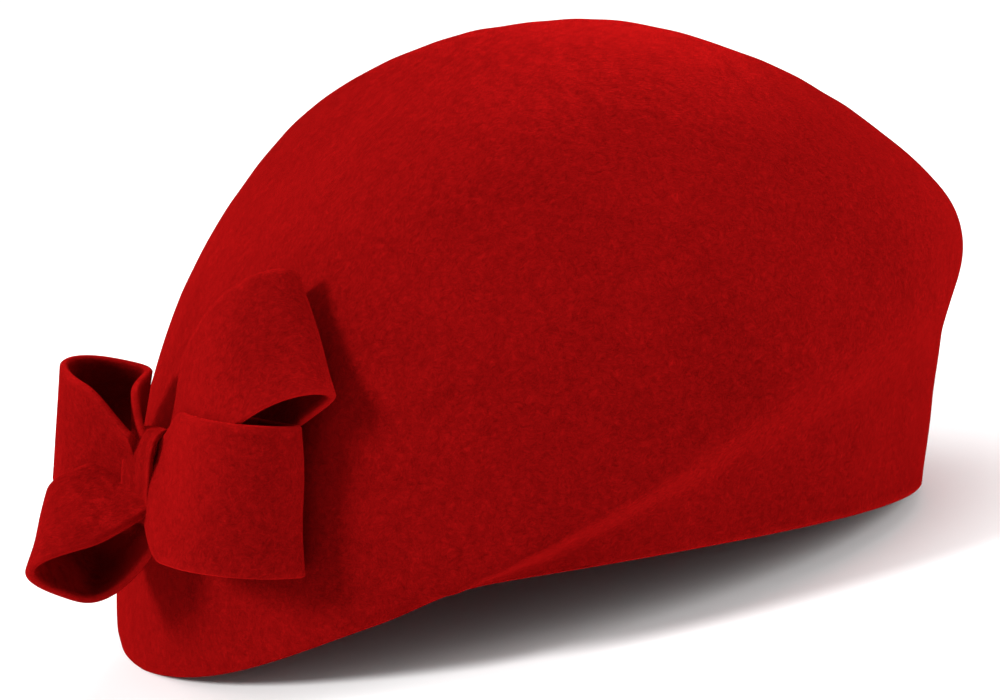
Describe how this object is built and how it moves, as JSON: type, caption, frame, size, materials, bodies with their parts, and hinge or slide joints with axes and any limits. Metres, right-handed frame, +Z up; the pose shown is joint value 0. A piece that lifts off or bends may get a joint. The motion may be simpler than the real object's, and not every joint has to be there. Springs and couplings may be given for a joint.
{
  "type": "blocked felt beret",
  "caption": "Blocked wool-felt beret with a pressed diagonal fold, an inner sweatband and a felt loop bow at the front left.",
  "frame": {"origin": "centre of the bounding box at the level of the rim's lowest front and back arcs, on which the beret stands", "axes": "+Z up; -Y the wearer's front; +X the wearer's left, the side the bow leans to"},
  "size_m": [0.1886, 0.2503, 0.1301],
  "materials": {
    "wool_felt": "fine fibrous wool felt, matt with a soft nap sheen",
    "bow_felt": "same wool felt, cut edges",
    "stay_felt": "thin stiff felt",
    "grosgrain": "ribbed grosgrain ribbon, slight sheen",
    "thread": "doubled sewing thread",
    "label_cloth": "woven satin label, blank",
    "edge_wire": "millinery spring wire"
  },
  "bodies": {
    "root": {"felt_body": "wool_felt", "edge_wire": "edge_wire", "sweatband": "grosgrain", "sweatband_join": "grosgrain", "sweatband_stitches": "thread", "label_tab": "label_cloth", "label_stitches": "thread", "size_label": "label_cloth", "bow_front_strip": "bow_felt", "bow_rear_strip": "bow_felt", "knot_band": "bow_felt", "bow_patch": "stay_felt", "bow_tack_stitches": "thread"},
    "label": {"care_label": "label_cloth"}
  },
  "joints": [
    {"name": "label_flap", "type": "hinge", "parent": "root", "child": "label", "pos_m": [0, 0.0999, 0.0209], "axis": [-1, 0, 0], "range_deg": [0, 100]}
  ]
}
